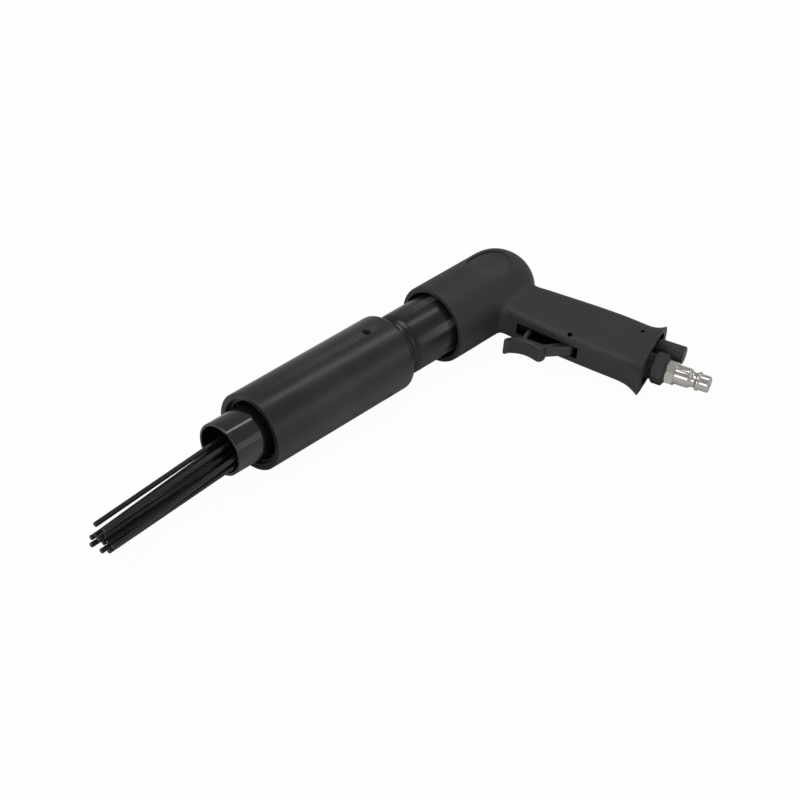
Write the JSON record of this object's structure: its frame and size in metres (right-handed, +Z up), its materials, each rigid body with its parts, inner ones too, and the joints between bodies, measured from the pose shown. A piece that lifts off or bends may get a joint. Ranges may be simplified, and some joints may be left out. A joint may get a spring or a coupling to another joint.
{
  "type": "pneumatic needle scaler",
  "caption": "Air-driven pistol-grip needle scaler: raked grip with trigger, regulator and air plug, barrel with piston and anvil, sleeve, and a bundle of loose steel needles in a tube.",
  "frame": {"origin": "centre of the front rim of the outer sleeve, on the barrel's axis", "axes": "+X forward along the barrel to the needle tips, +Y towards the grip, +Z up; the tool lies on its side as in the picture"},
  "size_m": [0.3692, 0.1733, 0.0496],
  "materials": {
    "housing": "matte charcoal, fine cast grain",
    "sleeve": "satin black",
    "cylinder": "black oxide, half gloss",
    "needle_tube": "gloss black",
    "needle": "blackened, drawn",
    "holder": "black oxide",
    "spring_steel": "oiled dark spring steel",
    "bright_steel": "ground",
    "hard_steel": "hardened, dark",
    "set_screw": "black oxide",
    "trigger": "half-gloss black",
    "bush": "black oxide, worn edges",
    "plug": "bright nickel",
    "knob": "black oxide, knurled",
    "brass": "turned",
    "rubber": "matt black",
    "washer": "dark fibre"
  },
  "bodies": {
    "frame": {"housing": "housing", "cylinder": "cylinder", "sleeve": "sleeve", "lock_screw_1": "set_screw", "lock_screw_2": "set_screw", "lock_screw_3": "set_screw", "spring_retaining_ring": "spring_steel", "return_spring": "spring_steel", "valve_seat": "bright_steel", "valve_cap": "bright_steel", "trigger_pin": "bright_steel", "throttle_bush": "bush", "throttle_bush_seal": "rubber", "throttle_spring": "spring_steel", "regulator_pin": "bright_steel", "inlet_bush": "bush", "inlet_filter": "brass", "plug_washer": "washer", "air_plug": "plug"},
    "needle_carriage": {"needle_holder": "holder", "needle_tube": "needle_tube"},
    "anvil_body": {"anvil": "hard_steel"},
    "piston_body": {"piston": "bright_steel"},
    "valve_disc_body": {"valve_disc": "bright_steel"},
    "trigger_body": {"trigger": "trigger"},
    "throttle_valve": {"throttle_stem": "bright_steel", "throttle_poppet": "rubber"},
    "regulator": {"regulator_knob": "knob", "regulator_seal": "rubber"},
    "needle_01_body": {"needle_01": "needle"},
    "needle_02_body": {"needle_02": "needle"},
    "needle_03_body": {"needle_03": "needle"},
    "needle_04_body": {"needle_04": "needle"},
    "needle_05_body": {"needle_05": "needle"},
    "needle_06_body": {"needle_06": "needle"},
    "needle_07_body": {"needle_07": "needle"},
    "needle_08_body": {"needle_08": "needle"},
    "needle_09_body": {"needle_09": "needle"},
    "needle_10_body": {"needle_10": "needle"},
    "needle_11_body": {"needle_11": "needle"},
    "needle_12_body": {"needle_12": "needle"}
  },
  "joints": [
    {"name": "trigger_pull", "type": "hinge", "parent": "frame", "child": "trigger_body", "pos_m": [-0.19834, 0.06782, -0.00726], "axis": [0, -0.1064, -0.9943], "range_deg": [0, 9], "stiffness_Nm_per_rad": 0.3, "springref_deg": -8.59},
    {"name": "throttle_slide", "type": "slide", "parent": "frame", "child": "throttle_valve", "axis": [-0.9432, -0.3303, 0.0353], "range_m": [0, 0.0041], "deforming": ["throttle_spring"]},
    {"name": "regulator_turn", "type": "hinge", "parent": "frame", "child": "regulator", "pos_m": [-0.24286, 0.1118, -0.01196], "axis": [-0.3322, 0.9379, -0.1003], "continuous": true},
    {"name": "needle_carriage_slide", "type": "slide", "parent": "frame", "child": "needle_carriage", "axis": [1, 0, 0], "range_m": [0, 0.007], "stiffness_N_per_m": 1800, "springref_m": -0.005, "deforming": ["return_spring"]},
    {"name": "anvil_slide", "type": "slide", "parent": "frame", "child": "anvil_body", "axis": [1, 0, 0], "range_m": [0, 0.003]},
    {"name": "piston_slide", "type": "slide", "parent": "frame", "child": "piston_body", "axis": [1, 0, 0], "range_m": [-0.0255, 0.0208]},
    {"name": "valve_disc_slide", "type": "slide", "parent": "frame", "child": "valve_disc_body", "axis": [-1, 0, 0], "range_m": [0, 0.0011]},
    {"name": "needle_01_slide", "type": "slide", "parent": "needle_carriage", "child": "needle_01_body", "axis": [0.9981, 0.04, -0.0473], "range_m": [-0.00525, 0.00307]},
    {"name": "needle_02_slide", "type": "slide", "parent": "needle_carriage", "child": "needle_02_body", "axis": [0.9965, 0.0596, -0.059], "range_m": [-0.0051, 0.00288]},
    {"name": "needle_03_slide", "type": "slide", "parent": "needle_carriage", "child": "needle_03_body", "axis": [0.9988, 0.0377, -0.03], "range_m": [-0.00615, 0.00233]},
    {"name": "needle_04_slide", "type": "slide", "parent": "needle_carriage", "child": "needle_04_body", "axis": [0.9997, 0.0122, -0.0227], "range_m": [-0.0079, 0.00078]},
    {"name": "needle_05_slide", "type": "slide", "parent": "needle_carriage", "child": "needle_05_body", "axis": [0.9994, 0.0198, -0.0266], "range_m": [-0.0079, 0.00072]},
    {"name": "needle_06_slide", "type": "slide", "parent": "needle_carriage", "child": "needle_06_body", "axis": [0.9986, 0.0288, -0.0451], "range_m": [-0.00735, 0.00107]},
    {"name": "needle_07_slide", "type": "slide", "parent": "needle_carriage", "child": "needle_07_body", "axis": [0.9964, 0.0533, -0.066], "range_m": [-0.0064, 0.00156]},
    {"name": "needle_08_slide", "type": "slide", "parent": "needle_carriage", "child": "needle_08_body", "axis": [0.9976, 0.0432, -0.0547], "range_m": [-0.00515, 0.00306]},
    {"name": "needle_09_slide", "type": "slide", "parent": "needle_carriage", "child": "needle_09_body", "axis": [0.9974, 0.0455, -0.0567], "range_m": [-0.00725, 0.00091]},
    {"name": "needle_10_slide", "type": "slide", "parent": "needle_carriage", "child": "needle_10_body", "axis": [0.9969, 0.0514, -0.0596], "range_m": [-0.00335, 0.00473]},
    {"name": "needle_11_slide", "type": "slide", "parent": "needle_carriage", "child": "needle_11_body", "axis": [0.9986, 0.0403, -0.0328], "range_m": [-0.0033, 0.00514]},
    {"name": "needle_12_slide", "type": "slide", "parent": "needle_carriage", "child": "needle_12_body", "axis": [0.999, 0.0288, -0.0338], "range_m": [-0.00475, 0.00377]}
  ],
  "couplings": [
    {"joint": "throttle_slide", "follows": "trigger_pull", "m_per_rad": 0.0255}
  ]
}
